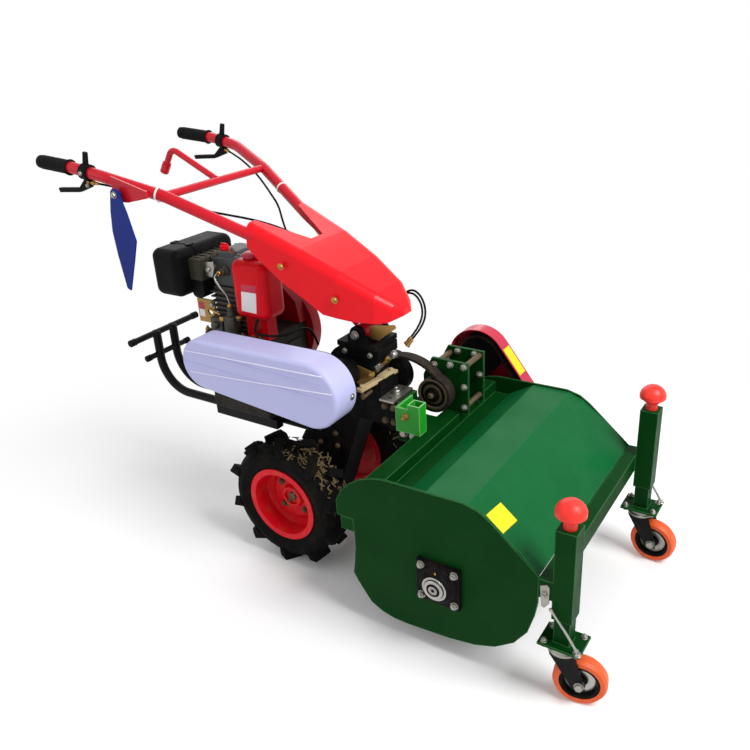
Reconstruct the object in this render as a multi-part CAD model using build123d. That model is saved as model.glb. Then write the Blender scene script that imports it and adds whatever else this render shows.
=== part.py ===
from build123d import *
import os
from math import acos, atan2, cos, degrees, hypot, radians, sin, tan

# Walk-behind power weeder: a two-wheel diesel tractor that pushes a flail mower on two front casters.
# Millimetres. +X is the way it drives, +Y its left side, +Z up. The origin is on the floor, under the
# middle of the whole machine. "right" is the operator's right hand, at -Y.

# Where things stand along the machine
axle_x = -142.5            # drive wheel axis
crank_x = axle_x - 225.0   # engine crankshaft
cylinder_x = axle_x - 258.0
input_x = axle_x + 152.0   # gearbox input shaft
head_x = axle_x + 190.0    # steering head under the handlebar
pto_x = axle_x + 222.0     # gearbox shaft that drives the mower
hitch_x = axle_x + 302.0   # face where mower and tractor are bolted together
jack_x = axle_x + 356.0    # jackshaft over the mower's rear edge
beam_x = axle_x + 396.0    # cross beam that carries the mower
rotor_x = axle_x + 580.0   # flail rotor
leg_x = axle_x + 886.0     # front caster legs

# Heights of the axes
crank_z = 603.0
input_z = 587.0
head_z = 702.0             # handlebar's tilt pin
pto_z = 545.0
jack_z = 511.0
rotor_z = 223.0

# Clearances
shaft_fit = 0.05           # radial, a shaft or pin in its bore
side_gap = 0.3             # a turning piece beside a fixed one
loose_gap = 2.0
far_out = 3000.0           # past everything

# Drive wheels, 4.00-8 tyres on 8 inch rims
tyre_r = 197.0             # over the lugs
tyre_w = 106.0
lug_h = 19.0
lug_w = 26.0
lug_count = 10             # on each shoulder
lug_slant = 38.0           # degrees from the axle's direction
rim_r = 115.0
rim_seat_r = 101.0
rim_wall = 3.0
rim_dish = 58.0            # from the outer flange in to the disc
wheel_hub_r = 36.0
axle_r = 14.0
track = 354.0              # between the middle planes of the two tyres
axle_tube_r = 34.0

# Gearbox casting
case_half = 46.0
case_low_r = 82.0
case_top_r = 72.0
case_nose_z = (440.0, 566.0)
head_flange_z = 660.0
kingpin_r = 17.0
kingpin_h = 16.0

# Cradle under the engine, which ends in the rear bumper
cradle_r = 14.0
cradle_y = 36.0
cradle_z = 362.0
cradle_bend = 110.0
bumper_x = axle_x - 634.0
bumper_top = 566.0
mount_top = 386.0

# Engine
crankcase_size = (232.0, 206.0)
crankcase_top = 642.0
cylinder_size = (112.0, 116.0)
fin_size = (124.0, 140.0)
fin_pitch = 15.0
fin_t = 4.0
engine_head_z = (772.0, 862.0)
fan_r = 142.0
fan_w = 52.0
tank_x = (axle_x - 194.0, axle_x - 70.0)
tank_y = (-112.0, -20.0)
tank_z = (708.0, 878.0)
cleaner_x = (axle_x - 478.0, axle_x - 366.0)
cleaner_y = (-142.0, 106.0)
cleaner_z = (746.0, 888.0)
silencer_z = (796.0, 860.0)

# Belt cover on the right side
cover_y = (-240.0, -154.0)
cover_wall = 3.0
cover_rear_r = 75.0
cover_front_r = 94.0
cover_plate_t = 3.0
cover_round = 12.0

# Handlebar
tube_r = 16.0
grip_r = 18.0
grip_len = 122.0
ear_y = 45.0               # inside face of the steering head's ears
ear_t = 12.0
tilt_pin_r = 10.0
tilt_sleeve_r = 21.0
hood_t = 3.0
hood_round = 26.0          # along the hood's upper edges
cable_r = 3.0
lever_t = 5.0
lever_y = 296.0            # blue lever's plane, on the right

# Mower
plate_y = 324.0            # middle plane of each side plate
plate_t = 5.0
skin_t = 3.0
beam_size = 48.0
beam_top = 450.0
rear_tube = 38.0
socket_size = 36.0
socket_wall = 3.0
drum_r = 50.0
drum_wall = 6.0
rotor_shaft_r = 17.0
flail_tip_r = 148.0
flail_count = 8            # in each of the rotor's two rows
bearing_size = 116.0
bearing_t = 12.0

# Mower drive
belt_w = 34.0
belt_t = 8.0
belt_slack = 18.0          # how far the near belt's upper run bows out
pto_r = 57.0
jack_near_r = 46.0
jack_far_r = 62.0
rotor_pulley_r = 40.0
jack_shaft_r = 12.5
near_belt_y = 68.0
far_belt_y = 356.0
bracket_y = (96.0, 190.0)
bracket_t = 8.0
guard_wall = 2.5
guard_top_r = 92.0
guard_low_r = 88.0
guard_y = 376.0

# Casters on telescopic legs
leg_y = plate_y - 19.0
leg_size = 38.0
leg_wall = 3.0
leg_gap = 0.8
leg_top = 430.0
sleeve_wall = 4.0
sleeve_z = (236.0, 474.0)
front_bar_z = (285.0, 335.0)
front_bar_x = axle_x + 829.0
foot_z = 162.0             # underside of the leg's foot plate
foot_t = 6.0
caster_r = 62.5
caster_w = 36.0
caster_trail = 42.0
caster_hub_r = 47.0
caster_turn = {"right": 12.0, "left": -4.0}   # how far each fork stands round from pointing ahead
knob_r = 34.0


def rod_y(x, z, r, y0, y1):
    """A round bar along Y."""
    return Pos(x, (y0 + y1) / 2, z) * Rot(90, 0, 0) * Cylinder(r, abs(y1 - y0))


def rod_z(x, y, r, z0, z1):
    """A round bar along Z."""
    return Pos(x, y, (z0 + z1) / 2) * Cylinder(r, abs(z1 - z0))


def block(x0, x1, y0, y1, z0, z1):
    """A box between two corners."""
    return Pos((x0 + x1) / 2, (y0 + y1) / 2, (z0 + z1) / 2) * Box(abs(x1 - x0), abs(y1 - y0), abs(z1 - z0))


def soft_block(x0, x1, y0, y1, z0, z1, r):
    """A box with rounded edges."""
    return fillet(block(x0, x1, y0, y1, z0, z1).edges(), r)


def side_profile(points, y0, y1):
    """A plate whose outline is (x, z) points, from y0 to y1."""
    face = make_face(Polyline([(x, y0, z) for x, z in points], close=True))
    return extrude(face, amount=abs(y1 - y0), dir=(0, 1 if y1 > y0 else -1, 0))


def oblong(x0, z0, r0, x1, z1, r1, y0, y1):
    """The hull of two circles in the XZ plane, like a belt round two pulleys, from y0 to y1."""
    along = atan2(z1 - z0, x1 - x0)
    lean = acos((r0 - r1) / hypot(x1 - x0, z1 - z0))
    corners = []
    for turn in (along + lean, along - lean):
        corners.append([(x + r * cos(turn), z + r * sin(turn)) for x, z, r in ((x0, z0, r0), (x1, z1, r1))])
    web = side_profile([corners[0][0], corners[0][1], corners[1][1], corners[1][0]], y0, y1)
    return web + rod_y(x0, z0, r0, y0, y1) + rod_y(x1, z1, r1, y0, y1)


def turned(points, axis_shift=0.0):
    """A body of revolution about Y from (radius, y) points."""
    face = make_face(Polyline([(r, y + axis_shift, 0) for r, y in points], close=True))
    return revolve(face, Axis.Y)


def bent_rod(points, radii, r):
    """A round bar along a polyline with arcs at its corners."""
    path = FilletPolyline(*points, radius=radii)
    start = Plane(origin=path @ 0, z_dir=path % 0)
    return sweep(start * Circle(r), path=path)


def slack_run(x0, z0, r0, x1, z1, r1, y0, y1, rise):
    """What a slack belt's upper run stands above the straight line between its two pulleys."""
    turn = atan2(z1 - z0, x1 - x0) + acos((r0 - r1) / hypot(x1 - x0, z1 - z0))
    a = Vector(x0 + r0 * cos(turn), y0, z0 + r0 * sin(turn))
    b = Vector(x1 + r1 * cos(turn), y0, z1 + r1 * sin(turn))
    middle = (a + b) / 2 + Vector(cos(turn), 0, sin(turn)) * rise
    face = make_face(ThreePointArc(a, middle, b) + Line(b, a))
    return extrude(face, amount=abs(y1 - y0), dir=(0, 1, 0))


def save(shape, name):
    """One STEP file for each named piece."""
    export_step(shape, f"parts/{name}.step")


def tyre():
    """Carcass with two staggered rows of slanted lugs, about the origin, outside towards +Y."""
    half = tyre_w / 2
    bare_r = tyre_r - lug_h
    bead = half - 10 - side_gap
    carcass = turned([(rim_seat_r, -bead), (rim_r + 1, -bead), (rim_r + 30, -half), (bare_r - 14, 5 - half),
                      (bare_r, 22 - half), (bare_r, half - 22), (bare_r - 14, half - 5), (rim_r + 30, half),
                      (rim_r + 1, bead), (rim_seat_r, bead)])
    root_r = bare_r - 16
    reach = half / 2 / cos(radians(lug_slant))
    tread = rod_y(0, 0, tyre_r, -half, half)
    lugs = []
    for shoulder in (-1, 1):
        outline = [(root_r, -reach), (tyre_r + 4, 4 - reach), (tyre_r + 4, reach - 15), (tyre_r - 14, reach),
                   (root_r, reach)]
        face = make_face(Polyline([(r, shoulder * along, -lug_w / 2) for r, along in outline], close=True))
        bar = Rot(shoulder * lug_slant, 0, 0) * extrude(face, amount=lug_w, dir=(0, 0, 1))
        bar = Pos(0, shoulder * (half / 2 - 1), 0) * bar & tread
        lead = 0.0 if shoulder > 0 else 180.0 / lug_count
        for n in range(lug_count):
            lugs.append(Rot(0, 90 + lead + n * 360.0 / lug_count, 0) * bar)
    return carcass + lugs


def rim():
    """Dished rim with its hub, about the origin, outside towards +Y."""
    flange = tyre_w / 2 - 6
    disc = flange - rim_dish
    seat = rim_seat_r - side_gap
    well = seat - rim_wall
    hub = wheel_hub_r
    bore = axle_r + shaft_fit
    return turned([(rim_r, flange), (rim_r, flange - 4), (seat, flange - 4), (seat, 4 - flange), (rim_r, 4 - flange),
                   (rim_r, -flange), (well, -flange), (well, disc - 12), (68, disc - 4), (hub, disc - 4),
                   (hub - 8, disc - 34), (bore, disc - 34), (bore, disc + 4), (hub - 12, disc + 4),
                   (hub - 12, disc + 12), (hub - 4, disc + 12), (hub + 2, disc), (70, disc), (82, disc - 8),
                   (well - 6, disc - 6), (well, disc + 4), (well, flange)])


def drive_wheel(side, sign):
    """Tyre, rim and half axle of one side."""
    outward = Rot(0, 0, 0) if sign > 0 else Rot(0, 0, 180)
    place = Pos(axle_x, sign * track / 2, tyre_r) * outward
    save(place * tyre(), f"tyre_{side}")
    save(place * rim(), f"rim_{side}")
    disc = tyre_w / 2 - 6 - rim_dish
    save(place * rod_y(0, 0, axle_r, disc + 1.5, 64 - track / 2), f"axle_{side}")


def gearbox():
    """Casting from the axle up to the steering head, with a nose for the hitch."""
    hub_end = tyre_w / 2 - 6 - rim_dish - 34
    tube_end = track / 2 + hub_end - 16
    case = oblong(axle_x, tyre_r, case_low_r, input_x, input_z, case_top_r, -case_half, case_half)
    case += rod_y(axle_x, tyre_r, axle_tube_r, -tube_end, tube_end)
    case += block(input_x - 40, hitch_x - 52, -case_half + 2, case_half - 2, *case_nose_z)
    case += block(head_x - 66, head_x + 60, -case_half - 4, case_half + 4, head_flange_z - 28, head_flange_z)
    case += rod_z(head_x, 0, kingpin_r, head_flange_z, head_flange_z + kingpin_h)
    for s in (-1, 1):
        y0 = s * case_half
        case += rod_y(axle_x, tyre_r, axle_tube_r + 16, y0, y0 + s * 14)
        case += oblong(axle_x, tyre_r, case_low_r - 12, axle_x + 60, tyre_r + 154, 40, y0, y0 + s * 6)
    case -= rod_y(axle_x, tyre_r, axle_r + shaft_fit, -tube_end - 1, tube_end + 1)
    case -= rod_y(pto_x, pto_z, jack_shaft_r + shaft_fit, 9, case_half + 1)
    return case


def cradle(case):
    """Two bent tubes from the gearbox back under the engine and up as a bumper, with its bars and engine rails."""
    frame = None
    for s in (-1, 1):
        y = s * cradle_y
        tube = bent_rod([(axle_x, y, cradle_z), (bumper_x, y, cradle_z), (bumper_x, y, bumper_top)],
                        cradle_bend, cradle_r)
        frame = tube if frame is None else frame + tube
    frame += rod_y(bumper_x, bumper_top - 6, 10, -148, 148)
    frame += rod_y(bumper_x, bumper_top - 80, 9, -95, 95)
    frame += block(crank_x - 120, crank_x + 125, -92, -64, cradle_z - 6, mount_top)
    frame += block(crank_x - 120, crank_x + 125, 64, 92, cradle_z - 6, mount_top)
    for x in (crank_x - 100, crank_x + 100):
        frame += block(x - 14, x + 14, -92, 92, cradle_z - 6, cradle_z + 6)
    return frame - case


def engine():
    """Crankcase, finned cylinder, head, fan housing, tank, air cleaner and silencer."""
    half_x, half_y = crankcase_size[0] / 2, crankcase_size[1] / 2
    body = soft_block(crank_x - half_x, crank_x + half_x, -half_y, half_y, mount_top, crankcase_top, 12)
    save(body, "crankcase")

    x, y = cylinder_size[0] / 2, cylinder_size[1] / 2
    barrel = block(cylinder_x - x, cylinder_x + x, -y, y, crankcase_top, engine_head_z[0])
    for n in range(int((engine_head_z[0] - crankcase_top - 8) / fin_pitch)):
        z = crankcase_top + 8 + n * fin_pitch
        barrel += block(cylinder_x - fin_size[0] / 2, cylinder_x + fin_size[0] / 2,
                        -fin_size[1] / 2, fin_size[1] / 2, z, z + fin_t)
    save(barrel, "cylinder")
    head = soft_block(cylinder_x - x - 6, cylinder_x + x - 6, -y + 4, y - 4, *engine_head_z, 8)
    cover_top = engine_head_z[1] + 16
    head += soft_block(cylinder_x - 34, cylinder_x + 30, 8 - y, y - 8, engine_head_z[1] - 12, cover_top, 6)
    head += rod_y(cylinder_x + 44, engine_head_z[1] - 6, 15, -y - 4, -y / 2)
    save(head, "cylinder_head")

    fan = turned([(0, 0), (fan_r, 0), (fan_r, fan_w - 14), (fan_r - 14, fan_w), (92, fan_w), (80, fan_w - 12),
                  (0, fan_w - 12)], half_y)
    fan = Pos(crank_x, 0, crank_z + 6) * fan
    duct_x = cylinder_x + cylinder_size[0] / 2
    fan += side_profile([(cylinder_x - 50, crankcase_top), (cylinder_x - 50, engine_head_z[0] + 24),
                         (duct_x - 16, engine_head_z[0] + 24), (duct_x + 84, crankcase_top + 66),
                         (duct_x + 96, crankcase_top)], fin_size[1] / 2 + side_gap, half_y + 12)
    save(fan, "fan_housing")

    tank = soft_block(*tank_x, *tank_y, *tank_z, 24)
    tank += rod_z((tank_x[0] + tank_x[1]) / 2 - 12, (tank_y[0] + tank_y[1]) / 2, 19, tank_z[1], tank_z[1] + 12)
    for px in (tank_x[0] + 32, tank_x[1] - 38):
        tank += block(px - 12, px + 12, tank_y[0] + 26, tank_y[1] - 26, crankcase_top, tank_z[0] + 4)
    save(tank, "fuel_tank")

    cleaner = soft_block(*cleaner_x, *cleaner_y, *cleaner_z, 26)
    save(cleaner, "air_cleaner")
    silencer = block(cleaner_x[1], cylinder_x - x - 6, -96, 20, *silencer_z)
    silencer = fillet(silencer.edges().filter_by(Axis.Y).group_by(Axis.Z)[-1], 6)
    for n in range(5):
        rib = -84 + n * 23
        silencer += block(cleaner_x[1] + 4, cylinder_x - x - 12, rib, rib + 5, silencer_z[1] - 1, silencer_z[1] + 3)
    save(silencer, "silencer")
    intake = block(cleaner_x[1], cylinder_x - fin_size[0] / 2, -96, 12, silencer_z[0] - 54, silencer_z[0])
    intake = fillet(intake.edges().filter_by(Axis.Y).group_by(Axis.Z)[0], 14)
    save(intake, "intake_box")
    plate = block(cylinder_x - x - 76, cylinder_x - fin_size[0] / 2, -62, -56, crankcase_top + 8, crankcase_top + 82)
    plate -= rod_y(axle_x - 341, crankcase_top + 45, 10, -70, -50)
    save(plate, "engine_bracket")


def belt_cover():
    """Long cover over the drive belt, and the plate and spacers that carry it."""
    front, back = cover_y

    def form(wall, start, end):
        return oblong(crank_x, crank_z, cover_rear_r - wall, input_x, input_z, cover_front_r - wall, start, end)
    shell = form(0, front, back)
    shell = fillet(shell.edges().group_by(Axis.Y)[0], cover_round)
    hollow = form(cover_wall, front + cover_wall, back + 1)
    shell -= chamfer(hollow.edges().group_by(Axis.Y)[0], cover_round - cover_wall)
    bead = (crank_x - cover_rear_r + 12, crank_z + 2, input_x + cover_front_r - 14, input_z - 2)
    for x0, z0, x1, z1, rise in (bead + (0,), (bead[0] + 6, bead[1] + 36, bead[2] - 22, bead[3] + 40, 0)):
        shell += side_profile([(x0, z0), (x0, z0 + 4), (x1, z1 + 4), (x1, z1)], front - 1.5, front + 1)
    save(shell, "belt_cover")
    y = back + cover_plate_t
    plate = oblong(crank_x, crank_z, cover_rear_r, input_x, input_z, cover_front_r, back, y)
    plate += rod_y(crank_x, crank_z - 10, 44, y, -crankcase_size[1] / 2)
    plate += rod_y(input_x, input_z, 40, y, -case_half)
    save(plate, "cover_back_plate")


def steering_head():
    """Turntable on the gearbox's kingpin, with two ears and the tilt pin."""
    low = head_flange_z + side_gap
    top = low + kingpin_h + 8
    head = block(head_x - 66, head_x + 56, -ear_y - ear_t, ear_y + ear_t, low, top - 10)
    head += rod_z(head_x, 0, 30, low, low + kingpin_h + 2)
    for s in (-1, 1):
        ear = block(head_x - 30, head_x + 30, s * ear_y, s * (ear_y + ear_t), top - 10, head_z - 4)
        ear += rod_y(head_x, head_z, 22, s * ear_y, s * (ear_y + ear_t))
        head += ear
    head -= rod_z(head_x, 0, kingpin_r + shaft_fit, low - 1, low + kingpin_h - side_gap + 1)
    head += rod_y(head_x, head_z, tilt_pin_r, -ear_y - ear_t - 6, ear_y + ear_t + 6)
    return head


# Handlebar arm, right side: distance ahead of the axle, distance from the centre plane, height
arm_line = [(-694, 270, 1150), (-560, 270, 1139), (-455, 262, 1120), (-300, 205, 1068), (-85, 122, 962),
            (60, 86, 884), (176, 20, 724)]
arm_bends = [200, 150, 150, 200, 90]
# Hood sections, rear to front: distance ahead of the axle, half width, height of the top
hood_sections = [(-88, 150, 996), (60, 134, 934), (170, 112, 880), (262, 82, 828), (300, 52, 798), (318, 22, 778)]
# Hood's lower edge, front to rear: distance ahead of the axle, height
hood_low = [(330, 764), (318, 762), (290, 750), (215, 752), (128, 768), (75, 808), (10, 848), (-62, 906), (-100, 946)]


def hood(arms):
    """Sheet hood bolted on the arms: rounded sections lofted to the nose, hollow below, notched behind."""
    def body(wall):
        faces = []
        for x, half, top in hood_sections:
            w, z, low = half - wall, top - wall, head_z - 60
            outline = Polyline([(axle_x + x, -w, low), (axle_x + x, w, low), (axle_x + x, 0.9 * w, z),
                                (axle_x + x, -0.9 * w, z)], close=True)
            face = make_face(outline)
            faces.append(fillet(face.vertices().group_by(Axis.Z)[-1], min(hood_round, 0.5 * half) - wall))
        return loft(faces, ruled=True)
    under = [(axle_x + x, z) for x, z in hood_low]
    below = [(under[-1][0], 0), (under[0][0], 0)]
    outer = body(0) - side_profile(under + below, -far_out, far_out)
    front = axle_x + hood_sections[-1][0]
    shell = outer - (body(hood_t) & block(-far_out, front - 22, -far_out, far_out, 0, far_out))
    notch = make_face(Polyline([(axle_x - 140, 120, 600), (axle_x - 140, -120, 600), (axle_x + 42, -26, 600),
                                (axle_x + 42, 26, 600)], close=True))
    shell -= extrude(notch, amount=far_out, dir=(0, 0, 1))
    for s in (-1, 1):
        shell += rod_z(axle_x + 40, s * 91, 9, 900, 938)
    for arm in arms:
        shell -= arm
    return shell


# Blue lever's outline, from its pivot round: distance ahead of the axle, height
leaf_line = [(-400, 1086), (-412, 1040), (-420, 985), (-416, 918), (-404, 826), (-392, 820), (-356, 907),
             (-334, 964), (-352, 1040), (-368, 1086)]


def levers(arms):
    """Blue side lever on its plate, bent shift lever, and a hand lever with its clamp under each grip."""
    y = -lever_y
    leaf = side_profile([(axle_x + x, z) for x, z in leaf_line], y, y + lever_t)
    leaf += rod_y(axle_x - 384, 1084, 16, y, y + lever_t)
    leaf += rod_y(axle_x - 384, 1084, 7, y + lever_t, y + lever_t + 12)
    save(leaf, "side_lever")
    plate = side_profile([(axle_x - 410, 1128), (axle_x - 410, 1062), (axle_x - 356, 1062), (axle_x - 280, 1078),
                          (axle_x - 280, 1096)], y + lever_t + 12, y + lever_t + 17)
    plate += rod_y(axle_x - 395, 1100, 8, y + lever_t + 17, -arm_line[3][1] - tube_r - 19)
    plate -= arms[0]
    save(plate, "lever_plate")

    reach = arm_line[3][2]
    shift = bent_rod([(axle_x - 304, 0, reach + 6), (axle_x - 464, 0, reach + 84), (axle_x - 500, 0, reach + 30)],
                     24, 9)
    shift -= rod_y(axle_x - 300, reach, 11, -40, 40)
    shift += Pos(axle_x - 502, 0, reach + 27) * Rot(0, 34, 0) * Cylinder(13, 30)
    save(shift, "shift_lever")

    hands = None
    for s in (-1, 1):
        near, far = (Vector(axle_x + x, s * y, z) for x, y, z in arm_line[1:3])
        middle = near + (far - near) * 0.43
        at = Plane(origin=middle, z_dir=far - near)
        clamp = at * (Cylinder(tube_r + 6, 26) - Cylinder(tube_r + shaft_fit, 28))
        cx, cy, cz = middle.X, middle.Y, middle.Z
        blade = side_profile([(cx - 12, cz - 20), (cx + 12, cz - 20), (cx + 8, cz - 40), (cx - 40, cz - 56),
                              (cx - 128, cz - 62), (cx - 132, cz - 50), (cx - 40, cz - 44)], cy - 6, cy + 6)
        thumb = side_profile([(cx - 8, cz + 20), (cx + 8, cz + 20), (cx + 14, cz + 52), (cx + 2, cz + 54)],
                             cy - 4, cy + 4)
        hand = clamp + blade + thumb
        hands = hand if hands is None else hands + hand
    save(hands, "hand_levers")


# Control cables from end to end: distance ahead of the axle, distance from the centre plane, height
cable_routes = {
    "cable_loop_front": [(170, 57.6, 688), (170, 84, 692), (184, 104, 712), (208, 112, 740), (238, 112, 770),
                         (272, 106, 790), (302, 98, 778), (320, 90, 750), (323, 82, 720), (313, 70, 692),
                         (297, 55, 667), (288, 42, 650)],
    "cable_loop_rear": [(146, 57.6, 667), (148, 84, 672), (160, 108, 690), (182, 122, 718), (210, 126, 748),
                        (240, 124, 770), (272, 118, 772), (296, 110, 750), (305, 100, 720), (299, 86, 692),
                        (287, 68, 668), (278, 52, 650)],
    "cable_arm_right": [(-503, -266, 1103), (-476, -256, 1098), (-400, -226, 1081), (-324, -196, 1050),
                        (-250, -156, 1028), (-176, -116, 1009), (-100, -78, 991), (-34, -46, 966), (16, -20, 931),
                        (50, -10, 892), (84, -6, 866)],
    "cable_arm_left": [(-503, 266, 1103), (-476, 256, 1098), (-400, 226, 1081), (-324, 196, 1050),
                       (-252, 146, 1032), (-196, 104, 1018), (-152, 82, 992), (-128, 64, 955), (-104, 50, 922),
                       (-66, 36, 898), (-14, 20, 882), (48, 12, 872)],
}


def cables():
    """Control cables: straight runs joined by arcs as large as the runs allow."""
    for name, route in cable_routes.items():
        points = [Vector(axle_x + x, y, z) for x, y, z in route]
        radii = []
        for before, here, after in zip(points, points[1:], points[2:]):
            turn = (here - before).get_angle(after - here)
            shorter = min((here - before).length, (after - here).length)
            radii.append(0.45 * shorter / tan(radians(turn / 2)))
        print(name, "bend radii", [round(r) for r in radii])
        save(bent_rod(points, radii, cable_r), name)


def handlebar():
    """Two arms, their cross tube, tilt sleeve, grips, levers and hood."""
    arms = []
    for side, s in (("right", -1), ("left", 1)):
        path = [(axle_x + x, s * y, z) for x, y, z in arm_line]
        arm = bent_rod(path, arm_bends, tube_r)
        arm -= rod_y(head_x, head_z, tilt_sleeve_r, -60, 60)
        arm &= block(-far_out, far_out, s * 3, s * far_out, 0, far_out)
        save(arm, f"arm_{side}")
        arms.append(arm)
    sleeve = rod_y(head_x, head_z, tilt_sleeve_r, -ear_y + loose_gap, ear_y - loose_gap)
    sleeve -= rod_y(head_x, head_z, tilt_pin_r + shaft_fit, -60, 60)
    save(sleeve, "tilt_sleeve")
    cross = rod_y(axle_x - 300, arm_line[3][2], 11, -arm_line[3][1], arm_line[3][1])
    save(cross - arms[0] - arms[1], "cross_tube")
    (x0, y0, z0), (x1, y1, z1) = arm_line[0], arm_line[1]
    lean = atan2(z0 - z1, x1 - x0)
    grips = None
    for s in (-1, 1):
        back = grip_len / 2 - 8
        at = Pos(axle_x + x0 + back * cos(lean), s * y0, z0 - back * sin(lean)) * Rot(0, degrees(lean) - 90, 0)
        grip = at * (Cylinder(grip_r, grip_len) - Pos(0, 0, -8) * Cylinder(tube_r, grip_len))
        grips = grip if grips is None else grips + grip
    save(grips, "grips")
    levers(arms)
    save(hood(arms), "hood")


# Side plate outline: distance ahead of the axle, height
side_outline = [(283, 322), (283, 365), (300, 398), (325, 425), (360, 448), (398, 462), (430, 468), (643, 470),
                (682, 460), (712, 440), (829, 337), (829, 262), (822, 222), (806, 168), (774, 122), (726, 87),
                (672, 68), (603, 57), (480, 49), (440, 50), (405, 58), (372, 76), (338, 124), (322, 153),
                (328, 190), (334, 240), (334, 322)]
# Top sheet from rear to front: distance ahead of the axle, height
skin_line = [(470, 421), (543, 464), (650, 464), (692, 448), (783, 380), (826, 334)]


def mower_housing():
    """Side plates, bent top sheet, the beam with its tongue, and the tool socket on it."""
    half = plate_t / 2
    for side, s in (("right", -1), ("left", 1)):
        y = s * plate_y
        plate = side_profile([(axle_x + x, z) for x, z in side_outline], y - half, y + half)
        plate -= rod_y(rotor_x, rotor_z, rotor_shaft_r + 12, y - half - 1, y + half + 1)
        save(plate, f"side_plate_{side}")
    inside = plate_y - half
    line = [(axle_x + x, z) for x, z in skin_line]
    under = [(x, z - skin_t) for x, z in line]
    save(side_profile(line + under[::-1], -inside, inside), "top_sheet")
    low = beam_top - beam_size
    beam = block(beam_x - beam_size / 2, beam_x + beam_size / 2, -inside, inside, low, beam_top)
    beam += block(beam_x + beam_size / 2, axle_x + skin_line[0][0] + 8, -inside, inside, 410, 416)
    rear_x = axle_x + 294
    notch_z = side_outline[0][1]
    beam += block(rear_x, rear_x + rear_tube, -plate_y - half, plate_y + half, notch_z - rear_tube, notch_z)
    beam += block(hitch_x, hitch_x + 10, -case_half, case_half - 2, low, 518)
    beam += block(hitch_x + 10, beam_x - beam_size / 2, -case_half, case_half - 2, low, beam_top)
    save(beam, "mower_frame")
    sx, sy, sh = axle_x + 370, -58, socket_size / 2
    inner = sh - socket_wall
    socket = block(sx - sh, sx + sh, sy - sh, sy + sh, beam_top, 536)
    socket -= block(sx - inner, sx + inner, sy - inner, sy + inner, beam_top + 6, 537)
    socket += block(hitch_x + 12, sx - sh, sy - sh, sy - sh + 6, beam_top, 522)
    socket += block(hitch_x + 12, hitch_x + 18, sy - sh, case_half - 40, beam_top, 522)
    save(socket, "tool_socket")
    housing = block(hitch_x - 52, hitch_x, -case_half, case_half - 2, 438, 518)
    save(housing, "hitch_housing")
    plate = block(hitch_x - 50, hitch_x - 4, -58, case_half - 2, 518, 524)
    for y in (-40, -6, 28):
        plate -= rod_z(hitch_x - 27, y, 6.5, 517, 525)
    save(plate, "hitch_plate")


def rotor():
    """Flail rotor with its shaft, bearings and pulley."""
    end = plate_y - plate_t / 2 - 8
    drum = turned([(drum_r, -end), (drum_r, end), (rotor_shaft_r, end), (rotor_shaft_r, end - 8),
                   (drum_r - drum_wall, end - 8), (drum_r - drum_wall, 8 - end), (rotor_shaft_r, 8 - end),
                   (rotor_shaft_r, -end)])
    shaft = rod_y(0, 0, rotor_shaft_r, -plate_y - 40, -end + 9) + rod_y(0, 0, rotor_shaft_r, end - 9, far_belt_y + 17)
    flails = []
    span = 2 * (end - 26)
    for row in range(2):
        for n in range(flail_count):
            y = -end + 26 + span * (n + 0.5 * row) / (flail_count - 0.5)
            lug = block(drum_r - 4, drum_r + 30, -15, -9, -16, 16) + block(drum_r - 4, drum_r + 30, 9, 15, -16, 16)
            lug += block(drum_r + 13, drum_r + 25, -18, 18, -6, 6)
            blade = side_profile([(drum_r + 9, -11), (flail_tip_r - 26, -14), (flail_tip_r, -24), (flail_tip_r, 20),
                                  (flail_tip_r - 26, 14), (drum_r + 9, 11)], -6, 6)
            flails.append(Pos(0, y, 0) * Rot(0, row * 180 + n * 72, 0) * (lug + blade))
    at = Pos(rotor_x, 0, rotor_z)
    save(at * (drum + shaft + flails), "flail_rotor")
    half = belt_w / 2 - 2
    pulley = rod_y(rotor_x, rotor_z, rotor_pulley_r, far_belt_y - half, far_belt_y + half)
    pulley -= rod_y(rotor_x, rotor_z, rotor_shaft_r, 0, 500)
    save(pulley, "rotor_pulley")
    bearings = None
    for s, boss in ((-1, 30), (1, bearing_t + 0.5)):
        y = s * (plate_y + plate_t / 2)
        h = bearing_size / 2
        ring = block(rotor_x - h, rotor_x + h, y, y + s * bearing_t, rotor_z - h, rotor_z + h)
        ring += rod_y(rotor_x, rotor_z, 36, y + s * bearing_t, y + s * boss)
        ring -= rod_y(rotor_x, rotor_z, rotor_shaft_r + shaft_fit, y - s, y + s * 60)
        bearings = ring if bearings is None else bearings + ring
    save(bearings, "rotor_bearings")


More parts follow.
